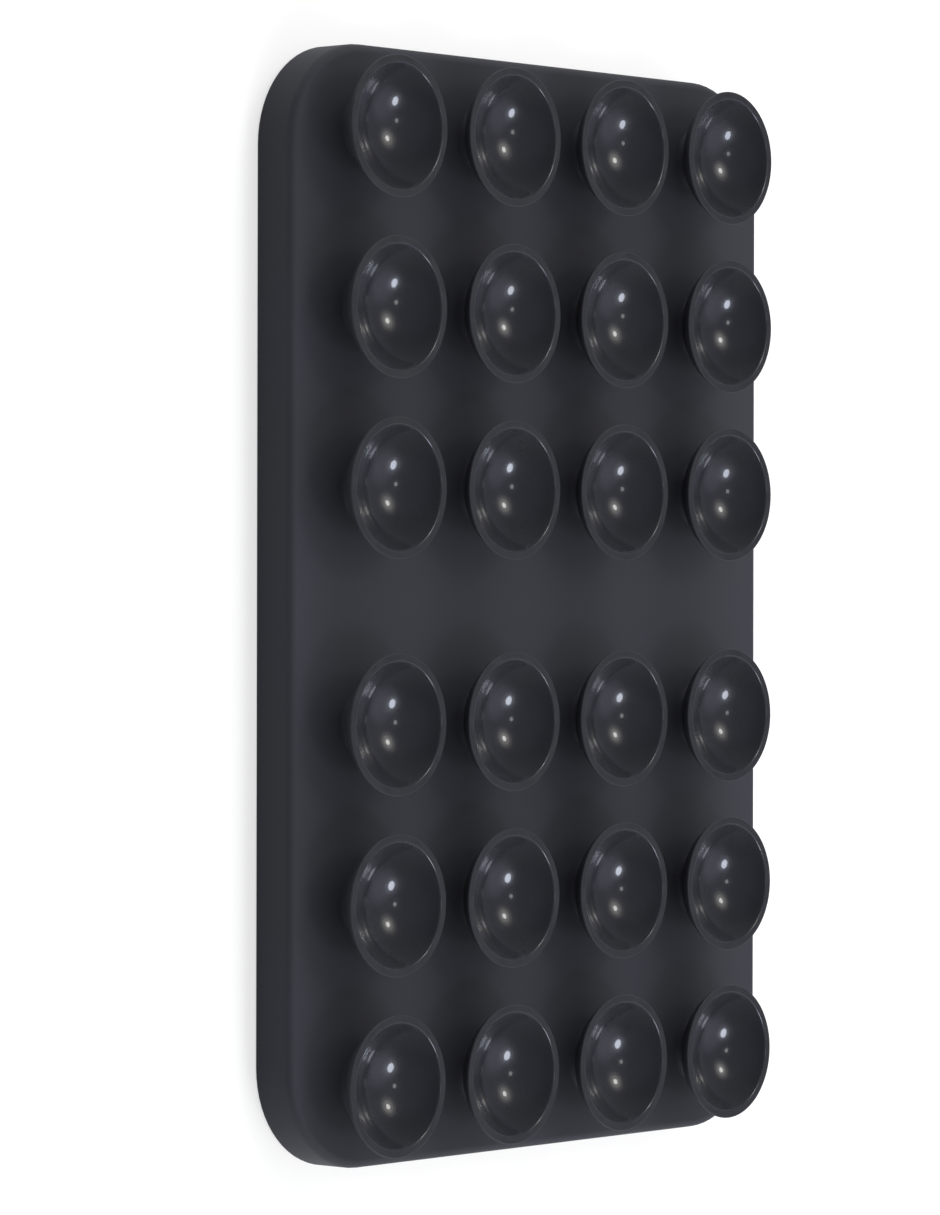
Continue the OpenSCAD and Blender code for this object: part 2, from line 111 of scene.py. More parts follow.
class FinishSettings(bpy.types.PropertyGroup):
    silicone: FloatVectorProperty(
        name="Silicone", description="Colour of the matt silicone",
        default=linear("#33343a"), size=4, min=0, max=1, subtype="COLOR")
    silicone_cloud: FloatVectorProperty(
        name="Silicone clouds", description="Colour of its lighter clouds",
        default=linear("#36373e"), size=4, min=0, max=1, subtype="COLOR")
    # Both bowl colours are darker than the matt silicone of the same rubber: that difference is painted
    # shade in the hollow bowls
    bowl: FloatVectorProperty(
        name="Bowls", description="Colour of the glossy bowls",
        default=linear("#1e1f24"), size=4, min=0, max=1, subtype="COLOR")
    bowl_cloud: FloatVectorProperty(
        name="Bowl clouds", description="Colour of their lighter clouds",
        default=linear("#212227"), size=4, min=0, max=1, subtype="COLOR")
    # Both lip colours are darker than the matt silicone of the same rubber: painted shade on the lit tops
    # of the lips; the greyer rubbed patches are real wear
    lip: FloatVectorProperty(
        name="Lips", description="Colour of the lips",
        default=linear("#1c1d22"), size=4, min=0, max=1, subtype="COLOR")
    lip_wear: FloatVectorProperty(
        name="Lip wear", description="Colour of the lips where they are rubbed",
        default=linear("#232429"), size=4, min=0, max=1, subtype="COLOR")
    housing: FloatVectorProperty(
        name="Housing", description="Colour of the housing",
        default=linear("#28292d"), size=4, min=0, max=1, subtype="COLOR")
    housing_cloud: FloatVectorProperty(
        name="Housing clouds", description="Colour of its lighter clouds",
        default=linear("#2c2d31"), size=4, min=0, max=1, subtype="COLOR")
    cover: FloatVectorProperty(
        name="Cover", description="Colour of the back cover",
        default=linear("#2b2c30"), size=4, min=0, max=1, subtype="COLOR")
    cover_cloud: FloatVectorProperty(
        name="Cover clouds", description="Colour of its lighter clouds",
        default=linear("#2f3034"), size=4, min=0, max=1, subtype="COLOR")
    dust: FloatVectorProperty(
        name="Dust", description="Colour of the dust specks",
        default=linear("#a8a6a2"), size=4, min=0, max=1, subtype="COLOR")


class StudioSettings(bpy.types.PropertyGroup):
    fill: FloatProperty(
        name="Fill", description="Strength of the even light from all round", default=0.27, min=0, max=2)
    right_fill: FloatProperty(
        name="Right fill", description="Extra light from low on the right", default=1.3, min=0, max=4)
    left_fill: FloatProperty(
        name="Left fill", description="Extra light from the horizon on the left",
        default=0.7, min=0, max=4)
    end_fill: FloatProperty(
        name="End fill", description="Extra light from low beyond both short ends",
        default=3.4, min=0, max=8)
    room_level: FloatProperty(
        name="Room", description="Brightness of the room overhead, as the bowls mirror it",
        default=0.16, min=0, max=1)
    wall_glow: FloatProperty(
        name="Wall glow", description="Brightness of the wall behind the cool lamp, as the bowls mirror it",
        default=0.42, min=0, max=1)
    room_glow: FloatProperty(
        name="Room glow", description="Brightness of the room on the right, as the bowls mirror it",
        default=0.14, min=0, max=1)
    ceiling_glow: FloatProperty(
        name="Ceiling glow", description="Brightness of the ceiling above, as the bowls mirror it",
        default=0.18, min=0, max=1)
    cool_power: FloatProperty(
        name="Cool lamp", description="Power of the cool lamp at the lower right",
        default=0.83, unit="POWER")
    warm_power: FloatProperty(
        name="Warm lamp", description="Power of the warm lamp at the upper right",
        default=0.27, unit="POWER")
    screen_power: FloatProperty(
        name="Warm screens", description="Power of each of the two diffusers round the warm lamp",
        default=0.15, unit="POWER")
    top_card_power: FloatProperty(
        name="Top card", description="Power of the card beyond the far end", default=0.5, unit="POWER")
    bottom_card_power: FloatProperty(
        name="Bottom card", description="Power of the card beyond the inlet's end",
        default=1.2, unit="POWER")
    spark_power: FloatProperty(
        name="Small lamp", description="Power of the small ceiling lamp", default=0.13, unit="POWER")


# Nodes

def add_node(tree, kind, settings=None, links=None):
    """Adds a node, sets its inputs or properties, and links sockets to its inputs."""
    node = tree.nodes.new(kind)
    settings = settings or {}
    named = [key for key in settings if isinstance(key, str)]
    properties = [key for key in named if hasattr(node, key) and key not in node.inputs]
    for key in properties:
        setattr(node, key, settings[key])
    for key in settings:
        if key not in properties:
            node.inputs[key].default_value = settings[key]
    for key, socket in (links or {}).items():
        tree.links.new(socket, node.inputs[key])
    return node


def new_material(name):
    """An empty material: its tree, its shader and the object coordinates."""
    material = bpy.data.materials.new(name)
    material.use_nodes = True
    tree = material.node_tree
    tree.nodes.clear()
    shader = add_node(tree, "ShaderNodeBsdfPrincipled")
    output = add_node(tree, "ShaderNodeOutputMaterial")
    tree.links.new(shader.outputs["BSDF"], output.inputs["Surface"])
    coordinates = add_node(tree, "ShaderNodeTexCoord").outputs["Object"]
    return material, tree, shader, coordinates


def tint(tree, pattern, low, high):
    """A colour between two others that follows a noise."""
    share = add_node(
        tree, "ShaderNodeMapRange", {"From Min": NOISE_LOW, "From Max": NOISE_HIGH}, {"Value": pattern})
    return add_node(
        tree, "ShaderNodeMix", {"data_type": "RGBA", 6: low, 7: high},
        {0: share.outputs["Result"]}).outputs[2]


def dusted(tree, place, clean, dust, spacing, size, limit):
    """The clean colour with specks on it: one in each spaced cell whose random grey is under the limit."""
    radius = 0.5 * size / spacing
    cells = add_node(
        tree, "ShaderNodeTexVoronoi", {"Scale": 1 / spacing, "Randomness": 1.0}, {"Vector": place})
    near = add_node(
        tree, "ShaderNodeMapRange", {"From Min": radius, "From Max": radius / 2},
        {"Value": cells.outputs["Distance"]})
    chosen = add_node(
        tree, "ShaderNodeMath", {"operation": "LESS_THAN", 1: limit}, {0: cells.outputs["Color"]})
    speck = add_node(
        tree, "ShaderNodeMath", {"operation": "MULTIPLY"},
        {0: near.outputs["Result"], 1: chosen.outputs["Value"]})
    return add_node(
        tree, "ShaderNodeMix", {"data_type": "RGBA", 7: dust},
        {0: speck.outputs["Value"], 6: clean}).outputs[2]


def vary_roughness(tree, shader, pattern, low, high):
    """Gives the shader a roughness between two values that follows a noise."""
    roughness = add_node(
        tree, "ShaderNodeMapRange",
        {"From Min": NOISE_LOW, "From Max": NOISE_HIGH, "To Min": low, "To Max": high},
        {"Value": pattern})
    tree.links.new(roughness.outputs["Result"], shader.inputs["Roughness"])


def relief(tree, shader, height, depth):
    """Gives the shader a relief of that depth in metres."""
    bump = add_node(tree, "ShaderNodeBump", {"Strength": 1.0, "Distance": depth}, {"Height": height})
    tree.links.new(bump.outputs["Normal"], shader.inputs["Normal"])


# Materials, each named for the real material and how its surface was made

def matt_silicone(name):
    """Silicone rubber moulded against a sandblasted tool: an even, dull black that dust clings to."""
    cloud_size = 14 * MM
    # Real blasting is too fine to show, so it's drawn as coarse as it needs to be seen
    blast_size = 0.22 * MM
    blast_depth = 0.006 * MM
    finish = bpy.context.scene.pad_finish
    material, tree, shader, place = new_material(name)
    cloud = add_node(
        tree, "ShaderNodeTexNoise", {"Scale": 1 / cloud_size, "Detail": CLOUD_DETAIL},
        {"Vector": place}).outputs["Fac"]
    blast = add_node(
        tree, "ShaderNodeTexNoise", {"Scale": 1 / blast_size, "Detail": GRAIN_DETAIL},
        {"Vector": place}).outputs["Fac"]
    clean = tint(tree, cloud, finish.silicone, finish.silicone_cloud)
    colour = dusted(tree, place, clean, finish.dust, spacing=3.2 * MM, size=0.16 * MM, limit=0.07)
    tree.links.new(colour, shader.inputs["Base Color"])
    vary_roughness(tree, shader, cloud, low=0.56, high=0.64)
    shader.inputs["IOR"].default_value = SILICONE_IOR
    shader.inputs["Specular IOR Level"].default_value = 0.2
    relief(tree, shader, blast, blast_depth)
    return material


def gloss_silicone():
    """The same rubber moulded against polished cores: dark, wet-looking, with soft halos round lamps. Its
    colour is set darker than the matt rubber's: painted shade.
    """
    cloud_size = 4 * MM
    ripple_size = 1.1 * MM
    ripple_depth = 0.002 * MM
    finish = bpy.context.scene.pad_finish
    material, tree, shader, place = new_material("Silicone, moulded gloss")
    cloud = add_node(
        tree, "ShaderNodeTexNoise", {"Scale": 1 / cloud_size, "Detail": CLOUD_DETAIL},
        {"Vector": place}).outputs["Fac"]
    ripple = add_node(
        tree, "ShaderNodeTexNoise", {"Scale": 1 / ripple_size, "Detail": CLOUD_DETAIL},
        {"Vector": place}).outputs["Fac"]
    # Painted shade: the bowl colours are darker than the same rubber's matt colour; only their clouds are
    # random tone
    clean = tint(tree, cloud, finish.bowl, finish.bowl_cloud)
    colour = dusted(tree, place, clean, finish.dust, spacing=2.6 * MM, size=0.15 * MM, limit=0.09)
    tree.links.new(colour, shader.inputs["Base Color"])
    vary_roughness(tree, shader, cloud, low=0.23, high=0.29)
    shader.inputs["IOR"].default_value = SILICONE_IOR
    shader.inputs["Coat Weight"].default_value = 1.0
    shader.inputs["Coat Roughness"].default_value = 0.045
    shader.inputs["Coat IOR"].default_value = SILICONE_IOR
    relief(tree, shader, ripple, ripple_depth)
    return material


def lip_silicone():
    """The ground sealing lip: the same rubber, thin and slightly greyer where it is rubbed. Its colours are
    set darker than the matt rubber's: painted shade.
    """
    wear_size = 1.5 * MM
    scuff_size = 0.3 * MM
    scuff_depth = 0.006 * MM
    finish = bpy.context.scene.pad_finish
    material, tree, shader, place = new_material("Silicone, rubbed lip")
    wear = add_node(
        tree, "ShaderNodeTexNoise", {"Scale": 1 / wear_size, "Detail": GRAIN_DETAIL},
        {"Vector": place}).outputs["Fac"]
    scuff = add_node(
        tree, "ShaderNodeTexNoise", {"Scale": 1 / scuff_size, "Detail": GRAIN_DETAIL},
        {"Vector": place}).outputs["Fac"]
    # Painted shade: both lip colours are darker than the same rubber's matt colour, to offset the light on
    # the lips' tops
    clean = tint(tree, wear, finish.lip, finish.lip_wear)
    colour = dusted(tree, place, clean, finish.dust, spacing=1.6 * MM, size=0.12 * MM, limit=0.1)
    tree.links.new(colour, shader.inputs["Base Color"])
    vary_roughness(tree, shader, wear, low=0.42, high=0.55)
    shader.inputs["IOR"].default_value = SILICONE_IOR
    relief(tree, shader, scuff, scuff_depth)
    return material


def moulded_plastic(name, low, high, roughness):
    """Black polycarbonate moulded against a fine spark-eroded tool: an even satin grain."""
    cloud_size = 18 * MM
    # Drawn coarser than the real sparks' pits, which are too fine to show
    grain_size = 0.25 * MM
    grain_depth = 0.008 * MM
    sway = 0.04
    material, tree, shader, place = new_material(name)
    cloud = add_node(
        tree, "ShaderNodeTexNoise", {"Scale": 1 / cloud_size, "Detail": CLOUD_DETAIL},
        {"Vector": place}).outputs["Fac"]
    grain = add_node(
        tree, "ShaderNodeTexNoise", {"Scale": 1 / grain_size, "Detail": GRAIN_DETAIL},
        {"Vector": place}).outputs["Fac"]
    tree.links.new(tint(tree, cloud, low, high), shader.inputs["Base Color"])
    vary_roughness(tree, shader, grain, roughness - sway, roughness + sway)
    shader.inputs["IOR"].default_value = PLASTIC_IOR
    relief(tree, shader, grain, grain_depth)
    return material


# Finishes of the screws and the pieces inside: two near colours, metal or not, roughness, and the
# size and depth of the grain. Grains that are finer on the real pieces are drawn coarser, so they show.
PLAIN_FINISHES = {
    # Dull blue-black with a faint metal gleam
    "Steel, blackened": ("#2b2b2d", "#38383b", METAL, 0.42, 0.2 * MM, 0.002 * MM),
    # A smooth dark film with a slight shine
    "Acrylic bonding film": ("#1d1d20", "#232326", NO_METAL, 0.45, 0.5 * MM, 0.002 * MM),
    # A warm gleam, broken up by the fine strands
    "Copper litz, enamelled": ("#a9672c", "#c98544", METAL, 0.3, 0.12 * MM, 0.02 * MM),
    # Smooth, dull yellow
    "Polyester tape": ("#bba44c", "#cab45c", NO_METAL, 0.4, 0.6 * MM, 0.002 * MM),
    # Dark grey-brown and matt, like fine stone
    "Ferrite, sintered": ("#413e3c", "#4e4a47", NO_METAL, 0.6, 0.15 * MM, 0.006 * MM),
    # Bright and satin, faintly uneven
    "Aluminium foil, rolled": ("#c3c4c7", "#d2d3d6", METAL, 0.35, 0.8 * MM, 0.003 * MM),
    # Grey without any shine, pitted by its cells
    "Polyurethane foam, open cell": ("#47484c", "#5f6065", NO_METAL, 0.9, 0.3 * MM, 0.08 * MM),
    # Smooth, shiny amber
    "Polyimide film": ("#b9792a", "#cf9138", NO_METAL, 0.3, 0.9 * MM, 0.001 * MM),
    # Black with the dull grain of a chip's body
    "Epoxy, moulded": ("#19191b", "#212124", NO_METAL, 0.55, 0.1 * MM, 0.004 * MM),
    # Smooth green with a soft shine
    "Glass epoxy, green lacquer": ("#1c5436", "#21603f", NO_METAL, 0.3, 1.2 * MM, 0.004 * MM),
    # Pale blue-grey and dull, like putty
    "Silicone, heat-conducting": ("#8691a8", "#97a2b8", NO_METAL, 0.7, 0.2 * MM, 0.006 * MM),
    # A bright, slightly soft mirror
    "Steel, nickel plated": ("#b4b5b8", "#c6c7ca", METAL, 0.28, 0.4 * MM, 0.001 * MM),
    # Black with a soft shine
    "Nylon, moulded": ("#1a1a1c", "#222225", NO_METAL, 0.45, 0.2 * MM, 0.003 * MM),
    # A clear yellow metal gleam
    "Gold plate": ("#cfa544", "#dfb85a", METAL, 0.22, 0.3 * MM, 0.0005 * MM),
    # An even tan with a soft shine
    "Ceramic, sintered": ("#9c7f52", "#b0925f", NO_METAL, 0.45, 0.1 * MM, 0.003 * MM),
    # Bright silver with soft dimples
    "Solder, reflowed": ("#bfc1c4", "#d0d1d4", METAL, 0.25, 0.3 * MM, 0.004 * MM),
    # A warm white with a slight shine
    "Diode body, moulded white": ("#e4e1d4", "#efece0", NO_METAL, 0.4, 0.2 * MM, 0.002 * MM),
}


def plain_finish(name):
    """A finish of the table: two near colours that follow a fine grain."""
    low, high, metallic, roughness, grain_size, grain_depth = PLAIN_FINISHES[name]
    sway = 0.05
    material, tree, shader, place = new_material(name)
    grain = add_node(
        tree, "ShaderNodeTexNoise", {"Scale": 1 / grain_size, "Detail": GRAIN_DETAIL},
        {"Vector": place}).outputs["Fac"]
    tree.links.new(tint(tree, grain, linear(low), linear(high)), shader.inputs["Base Color"])
    vary_roughness(tree, shader, grain, roughness - sway, roughness + sway)
    shader.inputs["Metallic"].default_value = metallic
    if metallic == NO_METAL:
        shader.inputs["IOR"].default_value = PLASTIC_IOR
    relief(tree, shader, grain, grain_depth)
    return material


def clear_acrylic():
    """Polished clear acrylic that lets the lamp's light through."""
    haze_size = 0.5 * MM
    hazed, clear = linear("#dfe6ea"), linear("#edf2f5")
    material, tree, shader, place = new_material("Acrylic, polished clear")
    haze = add_node(
        tree, "ShaderNodeTexNoise", {"Scale": 1 / haze_size, "Detail": CLOUD_DETAIL},
        {"Vector": place}).outputs["Fac"]
    tree.links.new(tint(tree, haze, hazed, clear), shader.inputs["Base Color"])
    vary_roughness(tree, shader, haze, low=0.05, high=0.12)
    shader.inputs["IOR"].default_value = ACRYLIC_IOR
    shader.inputs["Transmission Weight"].default_value = 0.9
    return material


def made_once(name, make):
    """The material of that name, made at its first use."""
    return bpy.data.materials.get(name) or make(name)


def paint(piece, *materials):
    """Gives a piece its materials, in the order of its slots."""
    piece.data.materials.clear()
    for material in materials:
        piece.data.materials.append(material)


# Modelling helpers

def start_piece(add, name, **settings):
    """Deselects everything, adds a primitive and deselects its mesh."""
    bpy.ops.object.select_all(action="DESELECT")
    add(**settings)
    piece = bpy.context.active_object
    piece.name = name
    piece.data.name = name
    bpy.ops.object.mode_set(mode="EDIT")
    bpy.ops.mesh.select_all(action="DESELECT")
    bpy.ops.object.mode_set(mode="OBJECT")
    return piece


def finish_piece(piece, angle):
    """Leaves edit mode, applies the place and shades smooth where faces meet at less than the angle."""
    bpy.ops.object.mode_set(mode="OBJECT")
    bpy.ops.object.select_all(action="DESELECT")
    piece.select_set(True)
    bpy.context.view_layer.objects.active = piece
    bpy.ops.object.transform_apply(location=True, rotation=True, scale=True)
    bpy.ops.object.shade_smooth_by_angle(angle=math.radians(angle))


def arc(centre_r, centre_z, radius, start, end, steps):
    """Points (r, z) on an arc, from angle start to end in degrees, both included."""
    angles = [math.radians(start + (end - start) * i / steps) for i in range(steps + 1)]
    return [(centre_r + radius * math.cos(a), centre_z + radius * math.sin(a)) for a in angles]


def turned_piece(name, axis, points, segments):
    """Draws a half profile of (r, z) points beside an upright axis and spins it into a closed piece."""
    piece = start_piece(
        bpy.ops.mesh.primitive_plane_add, name, size=MM,
        location=(axis.x + points[0][0], axis.y, points[0][1]))
    bpy.ops.object.mode_set(mode="EDIT")
    bpy.ops.mesh.select_mode(type="VERT")
    bpy.ops.mesh.select_all(action="SELECT")
    bpy.ops.mesh.merge(type="CENTER")
    for (r0, z0), (r1, z1) in zip(points, points[1:]):
        bpy.ops.mesh.extrude_region_move(TRANSFORM_OT_translate={"value": (r1 - r0, 0, z1 - z0)})
    bpy.ops.mesh.select_all(action="SELECT")
    bpy.ops.mesh.spin(steps=segments, angle=math.tau, center=axis, axis=(0, 0, 1))
    bpy.ops.mesh.select_all(action="SELECT")
    bpy.ops.mesh.remove_doubles(threshold=0.001 * MM)
    bpy.ops.mesh.normals_make_consistent(inside=False)
    return piece


# Pieces

def cup_profile(cup):
    """Half profile of a cup, from the middle of its bowl over the lip and down to the mat."""
    mouth_r = cup.radius - cup.lip_width
    bowl_r = (mouth_r ** 2 + cup.bowl_depth ** 2) / (2 * cup.bowl_depth)
    centre_z = LIP_Z - cup.bowl_depth + bowl_r
    outer_r = math.hypot(cup.radius, bowl_r - cup.bowl_depth)
    bowl_steps, wall_steps, edge_steps, join_steps, foot_steps = 26, 20, 7, 5, 6
    edge_gap = 0.06 * MM
    sunk = 0.05 * MM
    neck_share = 0.9

    # The inner rounding touches the bowl from inside the wall and the lip's plane from below
    soft = cup.inner_rounding
    soft_z = LIP_Z - soft
    soft_r = math.sqrt((bowl_r + soft) ** 2 - (centre_z - soft_z) ** 2)
    soft_angle = math.degrees(math.atan2(centre_z - soft_z, -soft_r))
    bowl_end = math.degrees(math.atan2(soft_z - centre_z, soft_r))
    # The outer rounding touches the lip's plane and the outer sphere
    edge = cup.outer_rounding
    edge_z = LIP_Z - edge
    edge_r = math.sqrt((outer_r - edge) ** 2 - (centre_z - edge_z) ** 2)
    edge_angle = math.degrees(math.atan2(edge_z - centre_z, edge_r))
    # The upper fillet joins neck and bowl, and the lower one joins neck and mat
    fillet = cup.neck_fillet
    join_r = cup.neck_radius + fillet
    join_z = centre_z - math.sqrt((outer_r + fillet) ** 2 - join_r ** 2)
    join_angle = math.degrees(math.atan2(centre_z - join_z, -join_r))
    wall_start = math.degrees(math.atan2(join_z - centre_z, join_r))
    foot_fillet = min(fillet, (join_z - FACE_Z) * neck_share)
    foot_r = cup.neck_radius + foot_fillet

    points = arc(0, centre_z, bowl_r, -90, bowl_end, bowl_steps)
    points += arc(soft_r, soft_z, soft, soft_angle, 90, edge_steps)[1:]
    points += [(soft_r + edge_gap, LIP_Z), (edge_r - edge_gap, LIP_Z)]
    points += arc(edge_r, edge_z, edge, 90, edge_angle, edge_steps)
    points += arc(0, centre_z, outer_r, edge_angle, wall_start, wall_steps)[1:]
    points += arc(join_r, join_z, fillet, join_angle, 180, join_steps)[1:]
    points += arc(foot_r, FACE_Z + foot_fillet, foot_fillet, 180, 270, foot_steps)
    points += [(foot_r + sunk, FACE_Z - sunk), (0, FACE_Z - sunk)]
    return points


def cup_axis(row, column):
    """The place of one cup's axis on the back's plane."""
    low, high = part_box(rim_node(row, column))
    return Vector(((low.x + high.x) / 2, (low.y + high.y) / 2, 0))


def finish_cup(piece, cup, axis):
    """Matt outside, glossy bowl with its inner rounding, and rubbed lip."""
    bowl_slot, lip_slot = 1, 2
    flat_cosine = 0.985
    upward_cosine = 0.05
    bowl_reach = cup.radius - cup.lip_width + 0.2 * MM
    lowest_lip_z = LIP_Z - cup.inner_rounding / 2
    lowest_bowl_z = FACE_Z + 1 * MM
    paint(piece, made_once("Silicone, moulded matt", matt_silicone), gloss_silicone(), lip_silicone())
    for face in piece.data.polygons:
        reach = math.hypot(face.center.x - axis.x, face.center.y - axis.y)
        upward = face.normal.z > upward_cosine
        if face.normal.z > flat_cosine and face.center.z > lowest_lip_z:
            face.material_index = lip_slot
        elif upward and reach < bowl_reach and face.center.z > lowest_bowl_z:
            face.material_index = bowl_slot


def copy_cup(first, name, offset):
    """A copy of the first cup, with its own mesh, set off from it."""
    bpy.ops.object.select_all(action="DESELECT")
    first.select_set(True)
    bpy.context.view_layer.objects.active = first
    bpy.ops.object.duplicate(linked=False)
    piece = bpy.context.active_object
    piece.name = name
    piece.data.name = name
    bpy.ops.transform.translate(value=offset)
    bpy.ops.object.transform_apply(location=True, rotation=True, scale=True)
    return piece


def model_cups():
    """24 suction cups: each is one moulding from the mat up to its lip."""
    smooth_angle = 40
    cup = bpy.context.scene.pad_cup
    first_axis = cup_axis(1, 1)
    first = turned_piece("suction_cup_1_1", first_axis, cup_profile(cup), cup.segments)
    finish_piece(first, smooth_angle)
    finish_cup(first, cup, first_axis)
    cups = {(1, 1): first}
    for row in ROWS:
        for column in COLUMNS:
            if (row, column) not in cups:
                offset = cup_axis(row, column) - first_axis
                cups[row, column] = copy_cup(first, f"suction_cup_{row}_{column}", offset)
    for (row, column), piece in cups.items():
        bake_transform(piece)
        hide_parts(rim_node(row, column), "cup_walls", "cup_feet")


def dress(material, *nodes):
    """Gives CAD nodes a material."""
    for node in nodes:
        paint(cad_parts[node], material)


def dress_plain(name, *nodes):
    """Gives CAD nodes a finish of the table."""
    dress(made_once(name, plain_finish), *nodes)


def finish_housing():
    """The mat that carries the cups, the film under it, the housing, its cover and the screws."""
    finish = bpy.context.scene.pad_finish
    satin = moulded_plastic("Polycarbonate, moulded satin", finish.housing, finish.housing_cloud, 0.5)
    fine = moulded_plastic("Polycarbonate, moulded fine grain", finish.cover, finish.cover_cloud, 0.55)
    dress(made_once("Silicone, moulded matt", matt_silicone), "suction_mat")
    dress(satin, "front_shell")
    dress(fine, "back_cover")
    dress_plain("Steel, blackened", "cover_screws")
    dress_plain("Acrylic bonding film", "mat_adhesive")


def finish_coil():
    """The charging coil, what lies under it, and its temperature sensor."""
    dress_plain("Copper litz, enamelled", "charging_coil", "coil_leads")
    dress_plain("Polyester tape", "coil_tape")
    dress_plain("Ferrite, sintered", "ferrite_sheet")
    dress_plain("Aluminium foil, rolled", "shield_foil")
    dress_plain("Polyurethane foam, open cell", "foam_pad")
    dress_plain("Polyimide film", "sensor_flex")
    dress_plain("Epoxy, moulded", "thermistor")


def finish_board():
    """The circuit board with what is soldered to it, and the pad that cools it."""
    dress_plain("Glass epoxy, green lacquer", "circuit_board")
    dress_plain("Epoxy, moulded", "controller_chip", "bridge_chips", "chip_resistors")
    dress_plain("Ceramic, sintered", "resonant_capacitors", "buffer_capacitors", "small_capacitors")
    dress_plain("Ferrite, sintered", "power_inductor")
    dress_plain("Steel, nickel plated", "crystal")
    dress_plain("Solder, reflowed", "solder_joints")
    dress_plain("Diode body, moulded white", "status_led")
    dress_plain("Silicone, heat-conducting", "thermal_pad")


def finish_inlet():
    """The socket for the supply cable, and the pipe that carries the lamp's light outside."""
    dress_plain("Steel, nickel plated", "inlet_shell")
    dress_plain("Nylon, moulded", "inlet_insulator")
    dress_plain("Gold plate", "inlet_contacts")
    dress(clear_acrylic(), "light_pipe")


# Stage

def add_lamp(name, place_mm, size_mm, power, colour):
    """An elliptical lamp at that place, that wide and high, that shines at the middle of the pad."""
    width_mm, height_mm = size_mm
    data = bpy.data.lights.new(name, "AREA")
    data.shape = "ELLIPSE"
    data.size = width_mm * MM
    data.size_y = height_mm * MM
    data.energy = power
    data.color = linear(colour)[:3]
    lamp = bpy.data.objects.new(name, data)
    bpy.context.scene.collection.objects.link(lamp)
    lamp.location = Vector(place_mm) * MM
    lamp.rotation_euler = (-lamp.location).to_track_quat("-Z", "Y").to_euler()
    lamp.visible_camera = False
    return lamp


def seen_directly(tree):
    """1 on rays that show the background: from the camera, a reflection or through glass."""
    path = add_node(tree, "ShaderNodeLightPath")
    either = add_node(
        tree, "ShaderNodeMath", {"operation": "MAXIMUM"},
        {0: path.outputs["Is Camera Ray"], 1: path.outputs["Is Glossy Ray"]})
    return add_node(
        tree, "ShaderNodeMath", {"operation": "MAXIMUM"},
        {0: either.outputs["Value"], 1: path.outputs["Is Transmission Ray"]}).outputs["Value"]


def add_glow(tree, light, direction, towards, edge, level):
    """The light and a soft patch in one direction, as bright as level, that ends at the cosine edge."""
    facing = add_node(
        tree, "ShaderNodeVectorMath", {"operation": "DOT_PRODUCT", 1: towards},
        {0: direction}).outputs["Value"]
    patch = add_node(
        tree, "ShaderNodeMapRange",
        {"interpolation_type": "SMOOTHSTEP", "From Min": edge, "From Max": 1.0, "To Max": level},
        {"Value": facing}).outputs["Result"]
    return add_node(tree, "ShaderNodeMath", {"operation": "ADD"}, {0: light, 1: patch}).outputs["Value"]


def room_light(tree, studio, direction, height):
    """The room as the bowls mirror it: bright at the horizon, dim overhead, with three soft glows."""
    horizon_height = 0.06
    light = add_node(
        tree, "ShaderNodeMapRange",
        {"interpolation_type": "SMOOTHSTEP", "From Min": 0.0, "From Max": horizon_height,
         "To Min": 1.0, "To Max": studio.room_level},
        {"Value": height}).outputs["Result"]
    glows = (
        ((0.8, 0, 0.6), 0.6, studio.room_glow),
        ((0.55, -0.4, 0.733), 0.88, studio.wall_glow),
        ((-0.15, 0, 0.989), 0.55, studio.ceiling_glow),
    )
    for towards, edge, level in glows:
        light = add_glow(tree, light, direction, towards, edge, level)
    return light


def fill_light(tree, studio, direction, axes):
    """The soft fill on the matt faces: even, with more from the right, the left and both ends."""
    right, left, either_end = (0.94, 0, 0.34), (-1, 0, 0), (0.4, 0.9, 0.17)
    even = add_node(tree, "ShaderNodeValue")
    even.outputs["Value"].default_value = studio.fill
    sideways = add_node(tree, "ShaderNodeMath", {"operation": "ABSOLUTE"}, {0: axes["Y"]}).outputs["Value"]
    folded = add_node(
        tree, "ShaderNodeCombineXYZ", {}, {"X": axes["X"], "Y": sideways, "Z": axes["Z"]}).outputs["Vector"]
    light = add_glow(tree, even.outputs["Value"], direction, right, edge=0.3, level=studio.right_fill)
    light = add_glow(tree, light, direction, left, edge=0.7, level=studio.left_fill)
    return add_glow(tree, light, folded, either_end, edge=0.6, level=studio.end_fill)


def set_up_world(studio):
    """White where the camera sees it, a dim room where it is mirrored, and a soft fill for all else."""
    white = "#ffffff"
    mirrored_white = "#e6e9ff"
    world = bpy.data.worlds.new("Studio")
    bpy.context.scene.world = world
    world.use_nodes = True
    tree = world.node_tree
    tree.nodes.clear()
    direction = add_node(tree, "ShaderNodeTexCoord").outputs["Generated"]
    axes = add_node(tree, "ShaderNodeSeparateXYZ", {}, {"Vector": direction}).outputs
    mirrored = room_light(tree, studio, direction, axes["Z"])
    path = add_node(tree, "ShaderNodeLightPath").outputs
    shown = add_node(
        tree, "ShaderNodeMath", {"operation": "MAXIMUM"},
        {0: mirrored, 1: path["Is Camera Ray"]}).outputs["Value"]
    strength = add_node(
        tree, "ShaderNodeMix", {"data_type": "FLOAT"},
        {0: seen_directly(tree), 2: fill_light(tree, studio, direction, axes), 3: shown}).outputs[0]
    colour = add_node(
        tree, "ShaderNodeMix", {"data_type": "RGBA", 6: linear(white), 7: linear(mirrored_white)},
        {0: path["Is Glossy Ray"]}).outputs[2]
    background = add_node(tree, "ShaderNodeBackground", {}, {"Color": colour, "Strength": strength})
    output = add_node(tree, "ShaderNodeOutputWorld")
    tree.links.new(background.outputs["Background"], output.inputs["Surface"])


